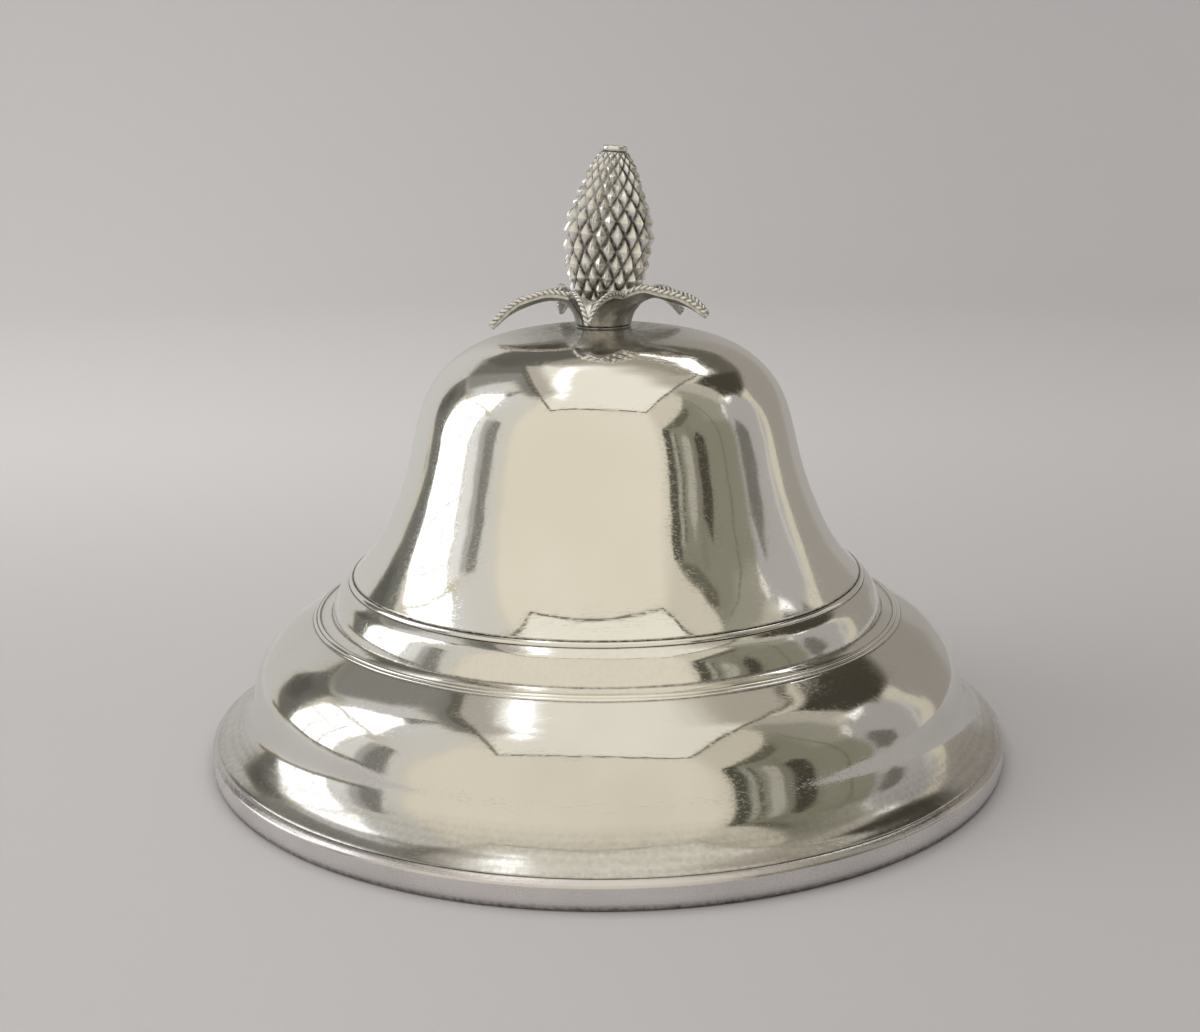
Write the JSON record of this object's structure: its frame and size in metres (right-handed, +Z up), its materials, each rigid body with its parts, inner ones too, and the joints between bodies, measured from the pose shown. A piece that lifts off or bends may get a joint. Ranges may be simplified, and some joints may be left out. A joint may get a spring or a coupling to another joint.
{
  "type": "sanctus bell",
  "caption": "Bell-shaped silver canopy with a moulded brim and a pineapple grip on a ring of leaves, over small fixed bells with swinging clappers.",
  "frame": {"origin": "centre of the flat ring under the rim, on the surface that the bell stands on", "axes": "+Z up along the canopy's axis of turning; one small bell on each of +X, +Y, -X and -Y; the fruit leans towards +X"},
  "size_m": [0.1812, 0.1812, 0.1358],
  "materials": {
    "polished_silver": "hand-polished sterling silver, with fine scratches and small dents",
    "chased_silver": "cast and chased silver, polished on the high spots and dark in the grooves",
    "bell_metal": "cast bell metal, turned and slightly dull",
    "iron_fittings": "plain iron, worn",
    "iron_clapper": "dark forged iron",
    "leather_pads": "old brown leather"
  },
  "bodies": {
    "root": {"crown_shell": "polished_silver", "collar_moulding": "polished_silver", "skirt_shell": "polished_silver", "upper_reed_wire": "polished_silver", "lower_reed_wire": "polished_silver", "rim_wire": "polished_silver", "pineapple_grip": "chased_silver", "leaf_calyx": "chased_silver", "finial_cap": "polished_silver", "tie_rod": "iron_fittings", "crown_washer": "iron_fittings", "crown_nut": "iron_fittings", "cross_bracket": "iron_fittings", "bracket_washers": "iron_fittings", "bracket_nuts": "iron_fittings", "bell_washers": "iron_fittings", "bell_nuts": "iron_fittings", "small_bell_1": "bell_metal", "small_bell_2": "bell_metal", "small_bell_3": "bell_metal", "small_bell_4": "bell_metal", "eye_bolt_1": "iron_fittings", "eye_bolt_2": "iron_fittings", "eye_bolt_3": "iron_fittings", "eye_bolt_4": "iron_fittings", "bell_pads": "leather_pads"},
    "link_1": {"link_ring_1": "iron_fittings"},
    "clapper_1": {"clapper_1": "iron_clapper"},
    "link_2": {"link_ring_2": "iron_fittings"},
    "clapper_2": {"clapper_2": "iron_clapper"},
    "link_3": {"link_ring_3": "iron_fittings"},
    "clapper_3": {"clapper_3": "iron_clapper"},
    "link_4": {"link_ring_4": "iron_fittings"},
    "clapper_4": {"clapper_4": "iron_clapper"}
  },
  "joints": [
    {"name": "link_swing_1", "type": "hinge", "parent": "root", "child": "link_1", "pos_m": [0.038, 0, 0.0388], "axis": [0, 1, 0], "range_deg": [-12, 12]},
    {"name": "clapper_swing_1", "type": "hinge", "parent": "link_1", "child": "clapper_1", "pos_m": [0.038, 0, 0.03495], "axis": [1, 0, 0], "range_deg": [-31, 31]},
    {"name": "link_swing_2", "type": "hinge", "parent": "root", "child": "link_2", "pos_m": [0, 0.038, 0.0388], "axis": [-1, 0, 0], "range_deg": [-12, 12]},
    {"name": "clapper_swing_2", "type": "hinge", "parent": "link_2", "child": "clapper_2", "pos_m": [0, 0.038, 0.03495], "axis": [0, 1, 0], "range_deg": [-31, 31]},
    {"name": "link_swing_3", "type": "hinge", "parent": "root", "child": "link_3", "pos_m": [-0.038, 0, 0.0388], "axis": [0, -1, 0], "range_deg": [-12, 12]},
    {"name": "clapper_swing_3", "type": "hinge", "parent": "link_3", "child": "clapper_3", "pos_m": [-0.038, 0, 0.03495], "axis": [-1, 0, 0], "range_deg": [-31, 31]},
    {"name": "link_swing_4", "type": "hinge", "parent": "root", "child": "link_4", "pos_m": [0, -0.038, 0.0388], "axis": [1, 0, 0], "range_deg": [-12, 12]},
    {"name": "clapper_swing_4", "type": "hinge", "parent": "link_4", "child": "clapper_4", "pos_m": [0, -0.038, 0.03495], "axis": [0, -1, 0], "range_deg": [-31, 31]}
  ]
}
